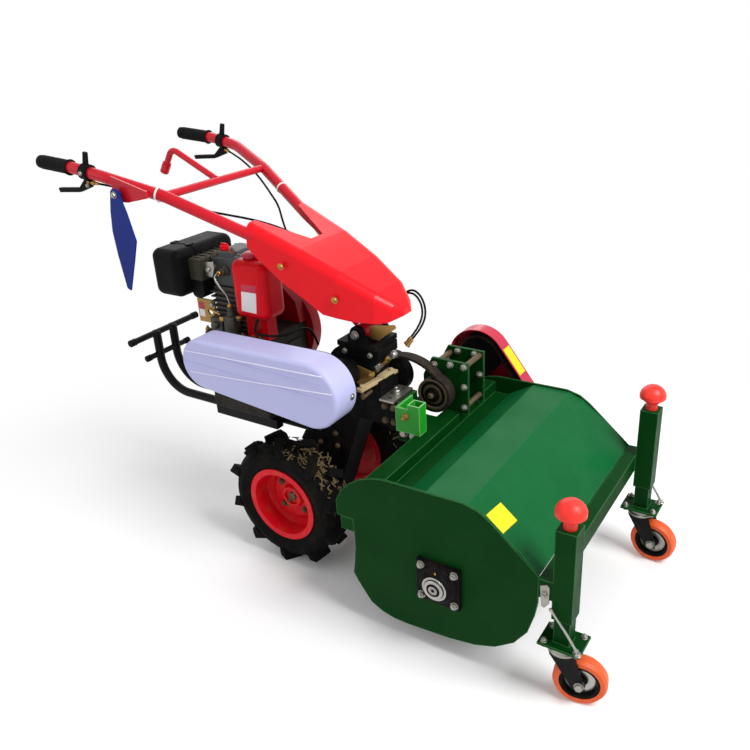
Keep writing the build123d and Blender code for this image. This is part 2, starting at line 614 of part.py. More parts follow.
def mower_drive():
    """From the gearbox by belt to the jackshaft, and from there by belt to the rotor's left end."""
    half = belt_w / 2
    pto = rod_y(pto_x, pto_z, pto_r, near_belt_y - half + 2, near_belt_y + half - 2)
    pto += rod_y(pto_x, pto_z, jack_shaft_r, 10, near_belt_y + half + 6)
    save(pto, "pto_pulley")
    shaft = rod_y(jack_x, jack_z, jack_shaft_r, near_belt_y - half - 8, far_belt_y + half - 2)
    shaft += rod_y(jack_x, jack_z, 21, near_belt_y - half - 5, near_belt_y - half + 2)
    shaft += rod_y(jack_x, jack_z, jack_near_r, near_belt_y - half + 2, near_belt_y + half - 2)
    shaft += rod_y(jack_x, jack_z, jack_far_r, far_belt_y - half + 2, far_belt_y + half - 2)
    save(shaft, "jackshaft")
    belts = None
    runs = ((pto_x, pto_z, pto_r, jack_x, jack_z, jack_near_r, near_belt_y),
            (jack_x, jack_z, jack_far_r, rotor_x, rotor_z, rotor_pulley_r, far_belt_y))
    for x0, z0, r0, x1, z1, r1, y in runs:
        g, t = side_gap, belt_t
        loop = oblong(x0, z0, r0 + t, x1, z1, r1 + t, y - half, y + half)
        hole = oblong(x0, z0, r0 + g, x1, z1, r1 + g, y - half - 1, y + half + 1)
        if y == near_belt_y:
            loop += slack_run(x0, z0, r0 + t, x1, z1, r1 + t, y - half, y + half, belt_slack)
            hole += slack_run(x0, z0, r0 + g, x1, z1, r1 + g, y - half - 1, y + half + 1, belt_slack)
        loop -= hole
        belts = loop if belts is None else belts + loop
    save(belts, "mower_belts")
    brackets = None
    outline = [(axle_x + 306, beam_top), (axle_x + 306, 548), (axle_x + 334, 604), (axle_x + 446, 604),
               (axle_x + 446, beam_top)]
    for y in bracket_y:
        plate = side_profile(outline, y - bracket_t / 2, y + bracket_t / 2)
        plate -= rod_y(jack_x, jack_z, jack_shaft_r + shaft_fit, y - 10, y + 10)
        brackets = plate if brackets is None else brackets + plate
    save(brackets, "jackshaft_plates")
    y0 = plate_y + plate_t / 2
    w = guard_wall
    guard = oblong(jack_x, jack_z, guard_top_r, rotor_x, rotor_z, guard_low_r, y0, guard_y)
    guard -= oblong(jack_x, jack_z, guard_top_r - w, rotor_x, rotor_z, guard_low_r - w, y0 - 1, guard_y - w)
    save(guard, "rotor_belt_guard")


def mushroom():
    """Knob on its collar, turned about Z from the origin up: a lip, and a part of a ball above it."""
    lip, top = 44.0, 70.0
    ball_z = (top ** 2 - knob_r ** 2 - lip ** 2) / (2 * (top - lip))
    slant = (top - ball_z) * sin(radians(45))
    outline = Polyline((0, top), (0, 0), (15, 0), (15, 18), (knob_r, lip - 10), (knob_r, lip))
    outline += ThreePointArc((knob_r, lip), (slant, ball_z + slant), (0, top))
    return revolve(Plane.XZ * make_face(outline), Axis.Z)


def caster_frame():
    """The bar across the mower's front with a sleeve for each leg, and the red knobs on top."""
    inner = leg_size / 2 + leg_gap
    outer = inner + sleeve_wall
    z0, z1 = sleeve_z
    frame = block(front_bar_x, leg_x - outer, -leg_y - outer, leg_y + outer, *front_bar_z)
    knobs = None
    for s in (-1, 1):
        y = s * leg_y
        sleeve = block(leg_x - outer, leg_x + outer, y - outer, y + outer, z0, z1)
        sleeve -= block(leg_x - inner, leg_x + inner, y - inner, y + inner, z0 - 1, z1 - 5)
        frame += sleeve
        knob = Pos(leg_x, y, z1) * mushroom()
        knobs = knob if knobs is None else knobs + knob
    save(frame, "caster_frame")
    save(knobs, "leg_knobs")


def caster(side, sign):
    """One leg with its foot plate, and the swivelling fork and wheel below it."""
    y = sign * leg_y
    half = leg_size / 2
    top = foot_z + foot_t
    leg = block(leg_x - half, leg_x + half, y - half, y + half, top, leg_top)
    inner = half - leg_wall
    leg -= block(leg_x - inner, leg_x + inner, y - inner, y + inner, top + 6, leg_top + 1)
    leg += block(leg_x - 50, leg_x + 50, y - 38, y + 38, foot_z, top)
    save(leg, f"leg_{side}")

    place = Pos(leg_x, y, 0) * Rot(0, 0, caster_turn[side])
    crown_z = 2 * caster_r + 12
    half = caster_w / 2
    fork = rod_z(0, 0, 34, crown_z, crown_z + 6) + rod_z(0, 0, 29, crown_z + 6, foot_z - side_gap)
    for s in (-1, 1):
        y0 = s * (half + 4)
        fork += side_profile([(caster_trail - 14, caster_r - 12), (caster_trail + 14, caster_r - 12),
                              (30, crown_z + 6), (-28, crown_z + 6)], y0, y0 + s * 5)
    fork += rod_y(caster_trail, caster_r, 6, -half - 14, half + 14)
    save(place * fork, f"fork_{side}")
    wheel_at = place * Pos(caster_trail, 0, caster_r)
    save(wheel_at * turned([(caster_hub_r, -half), (caster_r - 5, -half), (caster_r, 8 - half), (caster_r, half - 8),
                            (caster_r - 5, half), (caster_hub_r, half)]), f"caster_tread_{side}")
    bore = 6 + shaft_fit
    save(wheel_at * turned([(bore, -half - 2), (14, -half - 2), (16, -6), (36, -6), (40, 2 - half),
                            (caster_hub_r, 2 - half), (caster_hub_r, half - 2), (40, half - 2), (36, 6), (16, 6),
                            (14, half + 2), (bore, half + 2)]), f"caster_hub_{side}")


os.makedirs("parts", exist_ok=True)
for side, sign in (("right", -1), ("left", 1)):
    drive_wheel(side, sign)
    caster(side, sign)
case = gearbox()
save(case, "gearbox")
save(cradle(case), "cradle")
engine()
belt_cover()
save(steering_head(), "steering_head")
handlebar()
cables()
mower_housing()
rotor()
mower_drive()
caster_frame()
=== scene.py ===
import math
import random
import bmesh
import bpy
from mathutils import Matrix, Vector


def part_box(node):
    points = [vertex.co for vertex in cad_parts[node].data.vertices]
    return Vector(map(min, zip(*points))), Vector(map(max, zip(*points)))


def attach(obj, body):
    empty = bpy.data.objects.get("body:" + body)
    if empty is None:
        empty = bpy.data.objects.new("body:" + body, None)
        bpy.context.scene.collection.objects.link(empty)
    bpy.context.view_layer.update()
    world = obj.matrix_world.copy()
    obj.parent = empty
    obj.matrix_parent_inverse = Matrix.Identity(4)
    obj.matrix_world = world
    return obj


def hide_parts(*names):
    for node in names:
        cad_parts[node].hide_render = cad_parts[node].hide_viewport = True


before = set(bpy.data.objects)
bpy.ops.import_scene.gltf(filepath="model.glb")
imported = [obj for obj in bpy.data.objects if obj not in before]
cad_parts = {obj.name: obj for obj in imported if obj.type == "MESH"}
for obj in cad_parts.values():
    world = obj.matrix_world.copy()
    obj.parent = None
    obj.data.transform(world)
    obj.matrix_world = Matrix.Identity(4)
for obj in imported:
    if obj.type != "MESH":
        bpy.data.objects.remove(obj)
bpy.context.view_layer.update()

# Metres. +X is the way the machine drives, +Y its left, +Z up. Operator's right hand is at -Y.
mm = 0.001
rim_low, rim_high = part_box("rim_right")
axle_x = (rim_low.x + rim_high.x) / 2

# The camera that took the picture: where it stood, and how it was turned
camera_at = Vector((1.1932, -1.6539, 1.4873))
camera_azimuth = math.radians(34.4)
camera_down = math.radians(24.8)
camera_roll = math.radians(-3.5)
camera_lens = 37.97


def camera():
    """The photograph's camera, from its place and its three angles."""
    ca, sa = math.cos(camera_azimuth), math.sin(camera_azimuth)
    ce, se = math.cos(camera_down), math.sin(camera_down)
    forward = Vector((-sa * ce, ca * ce, -se))
    right = Vector((ca, sa, 0))
    up = right.cross(forward)
    cr, sr = math.cos(camera_roll), math.sin(camera_roll)
    right, up = cr * right + sr * up, cr * up - sr * right
    data = bpy.data.cameras.new("photo_camera")
    data.lens = camera_lens
    data.sensor_width = 36
    obj = bpy.data.objects.new("photo_camera", data)
    turn = Matrix((right, up, -forward)).transposed().to_4x4()
    obj.matrix_world = Matrix.Translation(camera_at) @ turn
    bpy.context.collection.objects.link(obj)
    bpy.context.scene.camera = obj


camera()


def at(x, y, z):
    """A point from millimetres: ahead of the axle, out from the centre plane, and up."""
    return Vector((axle_x + x * mm, y * mm, z * mm))


def linear(hex_code):
    """An sRGB hex colour as linear RGBA."""
    parts = [int(hex_code[i:i + 2], 16) / 255 for i in (0, 2, 4)]
    return tuple(c / 12.92 if c <= 0.04045 else ((c + 0.055) / 1.055) ** 2.4 for c in parts) + (1.0,)


def add(mat, kind, inputs=None, **settings):
    """One node in a material: its settings, and its inputs as values or as another node's output."""
    n = mat.node_tree.nodes.new(kind)
    for key, value in settings.items():
        setattr(n, key, value)
    for key, value in (inputs or {}).items():
        socket = n.inputs[key]
        if isinstance(value, bpy.types.NodeSocket):
            mat.node_tree.links.new(value, socket)
        else:
            socket.default_value = value
    return n


def new_material(name):
    """A material with an empty node tree."""
    mat = bpy.data.materials.new(name)
    mat.use_nodes = True
    mat.node_tree.nodes.clear()
    return mat


def blend(mat, share, below, above):
    """One colour over another by a share."""
    mixed = add(mat, "ShaderNodeMix", {"Factor": share, "A": below, "B": above}, data_type="RGBA")
    return mixed.outputs["Result"]


def spread(mat, value, start, end, low=0.0, high=1.0):
    """A value's run from start to end, read as a run from low to high."""
    ends = {"Value": value, "From Min": start, "From Max": end, "To Min": low, "To Max": high}
    return add(mat, "ShaderNodeMapRange", ends).outputs["Result"]


# What every finish shares: patches of tone and of dust per metre, how far the painted edge highlight reaches
# in from an edge, how strongly it is painted there, how deep the grain is, and how rough a clear coat is
tone_patches = 9.0
dust_patches = 28.0
edge_highlight_reach = 4 * mm
edge_highlight_share = 0.85
grain_depth = 0.6 * mm
coat_rough = 0.12


def finish(name, colour, shade, rough=0.35, coat=0.0, metallic=0.0, specular=0.5, grain=4.0, bump=0.05,
           dust=None, dusty=0.0, edge_highlight=None):
    """A surface: slow drift of tone, grain of a real size in mm, dust in patches, a painted highlight along
    edges.
    """
    mat = new_material(name)
    where = add(mat, "ShaderNodeTexCoord").outputs["Object"]
    noise = add(mat, "ShaderNodeTexNoise", {"Vector": where, "Scale": tone_patches, "Detail": 4.0})
    drift = noise.outputs["Fac"]
    colour_out = blend(mat, drift, linear(colour), linear(shade))
    # Painted highlight: colour lightened towards a paler tint along edges, standing in for the light that
    # rounded edges catch
    if edge_highlight:
        edges = add(mat, "ShaderNodeBevel", {"Radius": edge_highlight_reach}, samples=4).outputs["Normal"]
        flat = add(mat, "ShaderNodeNewGeometry").outputs["Normal"]
        turned = add(mat, "ShaderNodeVectorMath", {0: edges, 1: flat}, operation="DOT_PRODUCT")
        edge_highlight_mask = spread(mat, turned.outputs["Value"], 0.985, 0.9, 0.0, edge_highlight_share)
        colour_out = blend(mat, edge_highlight_mask, colour_out, linear(edge_highlight))
    if dust:
        grime = add(mat, "ShaderNodeTexNoise", {"Vector": where, "Scale": dust_patches, "Detail": 8.0,
                                                "Roughness": 0.7})
        amount = spread(mat, grime.outputs["Fac"], 0.5, 0.78, 0.0, dusty)
        colour_out = blend(mat, amount, colour_out, linear(dust))
    peel = add(mat, "ShaderNodeTexNoise", {"Vector": where, "Scale": 1000 / grain, "Detail": 2.0})
    bumped = add(mat, "ShaderNodeBump", {"Height": peel.outputs["Fac"], "Strength": bump,
                                         "Distance": grain_depth})
    gloss = spread(mat, drift, 0.3, 0.7, rough * 0.85, min(1.0, rough * 1.2))
    shader = add(mat, "ShaderNodeBsdfPrincipled", {
        "Base Color": colour_out, "Roughness": gloss, "Metallic": metallic, "Coat Weight": coat,
        "Specular IOR Level": specular, "Coat Roughness": coat_rough, "Normal": bumped.outputs["Normal"]})
    add(mat, "ShaderNodeOutputMaterial", {"Surface": shader.outputs["BSDF"]})
    return mat


# Sprayed enamel on the big sheet hood: the brightest red, with an even, soft gloss
hood_red = finish("red_enamel_hood", "E00E1D", "D20A18", rough=0.36, coat=0.12, specular=0.14)
# Enamel on round tube: a deeper red, whose gloss draws a line along the bend
tube_red = finish("red_enamel_tube", "CC1026", "B00C1E", rough=0.34, coat=0.15, specular=0.18)
# Enamel on the fuel tank: bright red, little gloss on its curved shell
tank_red = finish("red_enamel_tank", "E00A1C", "C40615", rough=0.34, coat=0.06, specular=0.08)
# Enamel on the fan's shroud: red darkened to a painted shade of the hood that stands over it
fan_red_painted_shade = finish("red_enamel_shroud_painted_shade", "A00C18", "7E0816", rough=0.42, coat=0.05, specular=0.15)
# Enamel on the wheel rims: bright red under patches of dry soil
rim_red = finish("red_enamel_rim", "E00C1E", "C20A1A", rough=0.42, coat=0.05, specular=0.15,
                 dust="8A6A48", dusty=0.35)
# Enamel on the belt guard: a cooler, pinker red with a clear highlight
guard_red = finish("red_enamel_guard", "C41A3E", "A81233", rough=0.35, coat=0.25, specular=0.3)
# Enamel on the mower's upright plates: dark green, with a painted highlight along the edges
deep_green = finish("green_enamel_plate", "043C10", "032F0C", rough=0.45, specular=0.05,
                    dust="2E4A24", dusty=0.12, edge_highlight="3E7A46")
# Enamel on the mower's top sheet: a lighter green, because it faces the sky
deck_green = finish("green_enamel_deck", "0C6030", "085228", rough=0.42, coat=0.03, specular=0.07,
                    dust="3C6A3C", dusty=0.12, edge_highlight="3F8A56")
# Enamel on the tool socket: a fresh light green with a strong painted highlight along its edges
bright_green = finish("green_enamel_bracket", "1BA31E", "128C17", rough=0.38, coat=0.1, specular=0.3,
                      edge_highlight="A9D6A0")
# Enamel on the cradle and forks: black, dulled by dust
chassis_black = finish("black_enamel_cradle", "070708", "0E0E10", rough=0.4, coat=0.02, specular=0.1,
                       dust="3C362C", dusty=0.3)
# White enamel on the belt cover: it looks lilac, because blue sky lights it from the side
cover_lilac = finish("white_enamel_cover", "BABCE4", "B2B4DF", rough=0.4, coat=0.08, specular=0.15)
# White enamel on the cover's raised ridges: they catch more light than the face
cover_white = finish("white_enamel_ridge", "E6E4F4", "DCDAF0", rough=0.4, coat=0.08, specular=0.15)
# Blue enamel on the side lever: a deep, flat blue
lever_blue = finish("blue_enamel_lever", "0E2A80", "0A2070", rough=0.4, coat=0.05, specular=0.12)
# Cream enamel on the selector's bar: pale, with soil on it
cream = finish("cream_enamel", "C8B48C", "A8926A", rough=0.45, specular=0.15, dust="5A4A30", dusty=0.4)
# Heat-resistant enamel on the silencer: a dull olive
olive = finish("olive_heat_enamel", "3A3828", "26251A", rough=0.55, specular=0.25, dust="5A5036", dusty=0.4)
# Moulded red plastic of the knobs: an orange red with a soft sheen
knob_red = finish("red_plastic_knob", "EE3428", "E2281F", rough=0.42, specular=0.35, dust="C8A090",
                  dusty=0.15)
# Moulded black plastic with a spark-eroded grain: nearly no highlight
black_plastic = finish("black_moulded_plastic", "060607", "0C0C0E", rough=0.5, specular=0.07, grain=1.2,
                       bump=0.3, dust="3A342A", dusty=0.18)
# White nylon of the cable ties: a small bright mark on the arms
tie_white = finish("white_nylon_tie", "F2F0EA", "E6E2DA", rough=0.4, specular=0.35)
# Cast polyurethane of the caster treads: orange, soiled where it rolls
orange_pu = finish("orange_polyurethane", "E4602A", "D24E20", rough=0.42, specular=0.3, dust="8A6A50",
                   dusty=0.25)
# Clear zinc plate on bolts and brackets: a dull grey shine
zinc = finish("zinc_plate", "A9A79F", "8F8D86", rough=0.38, metallic=0.9, dust="6A6252", dusty=0.3)
# Yellow zinc plate on the engine's bracket: a golden tint
yellow_zinc = finish("yellow_zinc_plate", "A88646", "8C6C34", rough=0.42, metallic=0.7, dust="5A4A30",
                     dusty=0.35)
# Machined steel of shafts and rods: the clearest reflections on the machine
steel = finish("bright_steel", "B8B6B0", "9A9892", rough=0.3, metallic=1.0)
# Plain steel under dry soil: brown rather than grey
dusty_steel = finish("dusty_plain_steel", "6A5A44", "4A3E30", rough=0.55, metallic=0.4, specular=0.25,
                     dust="8A7452", dusty=0.5)
# Turned brass of unions and screws: warm glints
brass = finish("turned_brass", "B8924A", "97743A", rough=0.3, metallic=1.0, dust="5A4A2C", dusty=0.35)
# Copper-coloured cap on the injector: one reddish spot on the head
copper = finish("copper_cap", "B4603A", "9A4E2E", rough=0.35, metallic=1.0)
# Sand-cast alloy of the cylinder and pump: rough grey grain with oil in its pores
cast_alloy = finish("sand_cast_alloy", "56534E", "3C3934", rough=0.6, metallic=0.5, grain=1.5, bump=0.4,
                    dust="1E1812", dusty=0.7)
# Oily casting of the crankcase: nearly black, with soil stuck to it
crank_grey = finish("oily_grey_casting", "26241F", "191713", rough=0.6, specular=0.15, grain=1.8, bump=0.4,
                    dust="5A4A30", dusty=0.35)
# Grey painted casting of the cylinder head: a flat middle grey
head_grey = finish("grey_painted_casting", "4E5052", "3A3C3E", rough=0.5, specular=0.3, grain=1.8, bump=0.35,
                   dust="6A6458", dusty=0.3)
# Black painted casting of the gearbox and bearings: black, with a coarse grain under dust
cast_black = finish("black_casting", "09090B", "050506", rough=0.6, specular=0.1, grain=1.8, bump=0.45,
                    dust="3A3226", dusty=0.35)
# Black rubber of grips and cable sheaths: matt and clean
rubber = finish("black_rubber", "08080A", "0E0E10", rough=0.62, specular=0.1, grain=1.5, bump=0.3)
# Fabric-backed belt: a brown black without any shine
belt_black = finish("fabric_backed_belt", "2A2420", "1B1613", rough=0.75, specular=0.15, grain=1.0, bump=0.5,
                    dust="5A4A38", dusty=0.5)
# Tyre rubber: the mattest black, with soil between the lugs
tyre_rubber = finish("tyre_rubber", "090909", "101010", rough=0.8, specular=0.06, grain=2.0, bump=0.35,
                     dust="3E3422", dusty=0.25)
# White sticker: a clean patch on the tank and the bracket
blank_label = finish("blank_white_label", "E8E4E2", "D8D2D2", rough=0.4, specular=0.3)
# Yellow sticker: the warning colour on the mower and its guard
yellow_label = finish("blank_yellow_label", "E8D81C", "D6C414", rough=0.4, specular=0.3)
# Dry straw: dull brown blades in the lugs
straw = finish("dry_straw", "6E5E42", "4A3E2C", rough=0.9, specular=0.1, grain=0.8, bump=0.5)

# The finish of each CAD node, by the longest of these that its name starts with
finish_of = {
    "air_cleaner": black_plastic, "arm": tube_red, "axle": steel, "belt_cover": cover_lilac,
    "cable": rubber, "caster_frame": deep_green, "caster_hub": black_plastic, "caster_tread": orange_pu,
    "cover_back_plate": chassis_black, "cradle": chassis_black, "crankcase": crank_grey,
    "cross_tube": tube_red, "cylinder": cast_alloy, "cylinder_head": head_grey,
    "engine_bracket": yellow_zinc, "fan_housing": fan_red_painted_shade, "flail_rotor": cast_black,
    "fork": chassis_black, "fuel_tank": tank_red, "gearbox": cast_black, "grips": rubber,
    "hand_levers": black_plastic, "hitch_housing": cast_black, "hitch_plate": zinc, "hood": hood_red,
    "intake_box": black_plastic, "jackshaft": cast_black, "jackshaft_plates": deep_green,
    "leg_": deep_green, "leg_knobs": knob_red, "lever_plate": tube_red, "mower_belts": belt_black,
    "mower_frame": deep_green, "pto_pulley": cast_black, "rim": rim_red, "rotor_bearings": cast_black,
    "rotor_belt_guard": guard_red, "rotor_pulley": cast_black, "shift_lever": tube_red,
    "side_lever": lever_blue, "side_plate": deep_green, "silencer": olive, "steering_head": cast_black,
    "tilt_sleeve": tube_red, "tool_socket": bright_green, "top_sheet": deck_green, "tyre": tyre_rubber,
}


def finish_nodes():
    """Gives every CAD node its finish."""
    for name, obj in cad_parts.items():
        key = max((k for k in finish_of if name.startswith(k)), key=len)
        obj.data.materials.clear()
        obj.data.materials.append(finish_of[key])


# Control cables from end to end: distance ahead of the axle, distance from the centre plane, height
cable_routes = {
    "cable_loop_front": [
        (170, 57.6, 688), (170, 84, 692), (184, 104, 712), (208, 112, 740), (238, 112, 770), (272, 106, 790),
        (302, 98, 778), (320, 90, 750), (323, 82, 720), (313, 70, 692), (297, 55, 667), (288, 42, 650)],
    "cable_loop_rear": [
        (146, 57.6, 667), (148, 84, 672), (160, 108, 690), (182, 122, 718), (210, 126, 748), (240, 124, 770),
        (272, 118, 772), (296, 110, 750), (305, 100, 720), (299, 86, 692), (287, 68, 668), (278, 52, 650)],
    "cable_arm_right": [
        (-503, -266, 1103), (-476, -256, 1098), (-400, -226, 1081), (-324, -196, 1050), (-250, -156, 1028),
        (-176, -116, 1009), (-100, -78, 991), (-34, -46, 966), (16, -20, 931), (50, -10, 892), (84, -6, 866)],
    "cable_arm_left": [
        (-503, 266, 1103), (-476, 256, 1098), (-400, 226, 1081), (-324, 196, 1050), (-252, 146, 1032),
        (-196, 104, 1018), (-152, 82, 992), (-128, 64, 955), (-104, 50, 922), (-66, 36, 898), (-14, 20, 882),
        (48, 12, 872)],
}
# Their width over the sheath
cable_width = 6 * mm


def curve_piece(name, points, radius, mat, body):
    """A round rod or hose along points in metres: one smooth spline with a bevel."""
    data = bpy.data.curves.new(name, "CURVE")
    data.dimensions = "3D"
    spline = data.splines.new("NURBS")
    spline.points.add(len(points) - 1)
    for point, place in zip(spline.points, points):
        point.co = (*place, 1)
    spline.order_u = 3
    spline.use_endpoint_u = True
    spline.resolution_u = 8
    data.bevel_depth = radius
    data.bevel_resolution = 3
    data.use_fill_caps = True
    data.materials.append(mat)
    obj = bpy.data.objects.new(name, data)
    bpy.context.collection.objects.link(obj)
    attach(obj, body)
    return obj


def control_cables():
    """Black sheathed control cables on the arms, and looped beside the hood's nose."""
    for name, route in cable_routes.items():
        body = "turntable" if "loop" in name else "handlebar"
        points = [at(*p) for p in route]
        cord = curve_piece("sheathed_" + name, points, cable_width / 2, rubber, body)
        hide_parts(name)


finish_nodes()
control_cables()


def piece(name, bm, mat, body, bevel=0.0):
    """Finishes a bmesh: merged, edges rounded by some tenths of a mm, shaded smooth, riding on a body."""
    bmesh.ops.remove_doubles(bm, verts=bm.verts, dist=1e-6)
    if bevel:
        corners = [e for e in bm.edges if len(e.link_faces) == 2 and e.calc_face_angle(0) > math.radians(50)]
        bmesh.ops.bevel(bm, geom=corners, offset=bevel * mm, offset_type="OFFSET", segments=2, profile=0.5,
                        affect="EDGES", material=-1, clamp_overlap=True)
    bmesh.ops.recalc_face_normals(bm, faces=bm.faces)
    mesh = bpy.data.meshes.new(name)
    bm.to_mesh(mesh)
    bm.free()
    mesh.shade_smooth()
    mesh.set_sharp_from_angle(angle=math.radians(35))
    mesh.materials.append(mat)
    obj = bpy.data.objects.new(name, mesh)
    bpy.context.collection.objects.link(obj)
    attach(obj, body)
    return obj


def along(start, way):
    """A place at a start whose Z axis runs along a direction."""
    return Matrix.Translation(start) @ Vector(way).to_track_quat("Z", "Y").to_matrix().to_4x4()


def bar(bm, start, end, radius, sides=20):
    """A round bar between two points."""
    way = end - start
    bmesh.ops.create_cone(bm, cap_ends=True, cap_tris=False, segments=sides, radius1=radius * mm,
                          radius2=radius * mm, depth=way.length, matrix=along((start + end) / 2, way))


def block(bm, centre, size):
    """A block of a size in mm."""
    shape = Matrix.Diagonal((size[0] * mm, size[1] * mm, size[2] * mm, 1))
    bmesh.ops.create_cube(bm, size=1.0, matrix=Matrix.Translation(centre) @ shape)


def lathe(bm, profile, start, way, sides=32):
    """A profile of (radius, distance) in mm, turned about a line."""
    old = set(bm.verts)
    verts = [bm.verts.new((r * mm, 0, z * mm)) for r, z in profile]
    edges = [bm.edges.new(pair) for pair in zip(verts, verts[1:])]
    bmesh.ops.spin(bm, geom=verts + edges, axis=(0, 0, 1), cent=(0, 0, 0), angle=math.tau, steps=sides,
                   use_merge=True, use_duplicate=False)
    bmesh.ops.transform(bm, matrix=along(start, way), verts=[v for v in bm.verts if v not in old])


def plate(bm, corners, thickness):
    """A flat plate: one face through its corners, pulled out by a vector in mm."""
    face = bm.faces.new([bm.verts.new(c) for c in corners])
    pulled = bmesh.ops.extrude_face_region(bm, geom=[face], use_keep_orig=True)
    moved = [v for v in pulled["geom"] if isinstance(v, bmesh.types.BMVert)]
    bmesh.ops.translate(bm, verts=moved, vec=Vector(thickness) * mm)


def flat_plate(bm, y, outline, thick):
    """A plate that faces sideways: its outline as (x, z) in mm at a y, and its thickness along Y."""
    plate(bm, [at(x, y, z) for x, z in outline], (0, thick, 0))


def level_plate(bm, z, outline, thick):
    """A level plate: its outline as (x, y) in mm at a height, and its thickness upward."""
    plate(bm, [at(x, y, z) for x, y in outline], (0, 0, thick))


def around(count, start=0.0):
    """Equal turns round a circle in radians, begun a share of a step along."""
    return [math.tau * (n + start) / count for n in range(count)]


def bolt(bm, seat, way, thread=8, stud=0.0):
    """A washer and a chamfered hexagon head, or a nut with the bolt's end standing out of it."""
    way = Vector(way).normalized()
    t = thread
    lathe(bm, [(0, 0), (1.05 * t, 0), (1.05 * t, 0.14 * t), (0.98 * t, 0.2 * t), (0, 0.2 * t)], seat, way, 20)
    lathe(bm, [(0, 0.2 * t), (0.9 * t, 0.2 * t), (0.9 * t, 0.72 * t), (0.76 * t, 0.84 * t), (0, 0.84 * t)],
          seat, way, 6)
    if stud:
        lathe(bm, [(0, 0.8 * t), (0.48 * t, 0.8 * t), (0.48 * t, 0.8 * t + stud), (0.38 * t, 0.9 * t + stud),
                   (0, 0.9 * t + stud)], seat, way, 16)


def screw(bm, seat, way, radius=6.0):
    """A domed screw head on a washer, with a cross recess."""
    lathe(bm, [(0, 0), (1.5 * radius, 0), (1.5 * radius, 1), (radius, 1.4), (0.92 * radius, 2.6),
               (0.6 * radius, 4.2), (0.25 * radius, 4.5), (0.2 * radius, 3.2), (0, 3.2)], seat, way, 24)


def bolts(name, seats, way, thread, mat, body, stud=0.0):
    """A set of equal bolts on one face."""
    bm = bmesh.new()
    for seat in seats:
        bolt(bm, at(*seat), way, thread, stud)
    return piece(name, bm, mat, body, 0.3)


# Centres in mm that several pieces share: rotor, jackshaft, mower drive pulley, a caster's leg, drive wheels
rotor_x, rotor_z = 580, 223
jack_x, jack_z = 356, 511
pto_x, pto_z = 222, 545
leg_x, leg_y = 886, 305
wheel_z = 197

to_right, to_left = (0, -1, 0), (0, 1, 0)
to_front, to_rear = (1, 0, 0), (-1, 0, 0)
upward, downward = (0, 0, 1), (0, 0, -1)
both_sides = (("right", -1), ("left", 1))


def mower_flange():
    """The rotor's right flange bearing: cast skirt, seal, locking collar, shaft end, grease nipple, bolts."""
    bearing_face, bolt_reach = -338.5, 45
    shaft_end, cap = -364, 2.4
    face = at(rotor_x, bearing_face, rotor_z)
    bm = bmesh.new()
    lathe(bm, [(35, 0), (53, 0), (50, 5), (42, 9), (38.5, 17), (35, 17)], face, to_right, 48)
    for turn in around(4, 0.5):
        spoke = Vector((math.cos(turn), 0, math.sin(turn)))
        bar(bm, face + spoke * 36 * mm, face + spoke * 52 * mm + Vector(to_left) * mm, 7)
    piece("bearing_skirt", bm, cast_black, "machine", 0.5)
    bm = bmesh.new()
    lathe(bm, [(18, 17), (25.5, 17), (25.5, 22.5), (24, 24), (18, 24)], face, to_right, 40)
    lathe(bm, [(27, 17), (33, 17), (33, 19), (31, 20), (27, 19.4)], face, to_right, 40)
    piece("bearing_collar", bm, steel, "machine", 0.3)
    bm = bmesh.new()
    lathe(bm, [(0, 0), (13.5, 0), (13.5, 1.4), (12, cap), (4.5, cap), (3.5, -0.4), (0, -0.4)],
          at(rotor_x, shaft_end + cap, rotor_z), to_right, 32)
    piece("rotor_shaft_end", bm, steel, "flail_shaft", 0.2)
    reach = (-bolt_reach, bolt_reach)
    corners = [(rotor_x + a, bearing_face, rotor_z + b) for a in reach for b in reach]
    bolts("bearing_bolts", corners, to_right, 10, zinc, "machine", 3)
    bm = bmesh.new()
    lathe(bm, [(0, 0), (3.2, 0), (3.2, 5), (2, 6), (2.6, 8), (1.5, 10), (0, 10)],
          at(rotor_x, -350, rotor_z + 35.5), upward, 16)
    piece("grease_nipple", bm, brass, "machine")


def blank_labels():
    """Blank stickers where the real machine carries its labels."""
    high_x, high_z, low_x, low_z = 692, 448, 783, 380
    fall = (high_z - low_z) / (low_x - high_x)
    slope = ((694, -312), (738, -316), (743, -250), (699, -246))
    guard = ((440, 332, 552.5), (440, 370, 552.5), (495, 370, 480), (495, 332, 480))
    bm = bmesh.new()
    plate(bm, [at(x, y, high_z - (x - high_x) * fall) for x, y in slope], (0.36, 0, 0.48))
    plate(bm, [at(*corner) for corner in guard], (0.5, 0, 0.4))
    piece("yellow_labels", bm, yellow_label, "machine")
    tank_face, bracket_face, film = -112, -62, -0.5
    bm = bmesh.new()
    flat_plate(bm, tank_face, ((-155, 792), (-101, 793), (-108, 733), (-162, 734)), film)
    flat_plate(bm, bracket_face, ((-386, 690), (-364, 690), (-364, 667), (-386, 667)), film)
    piece("white_labels", bm, blank_label, "machine")
    bm = bmesh.new()
    flat_plate(bm, tank_face, ((-152, 814), (-98, 815), (-101, 793), (-155, 792)), film)
    flat_plate(bm, bracket_face, ((-386, 712), (-364, 712), (-364, 690), (-386, 690)), film)
    piece("red_label_bands", bm, guard_red, "machine")


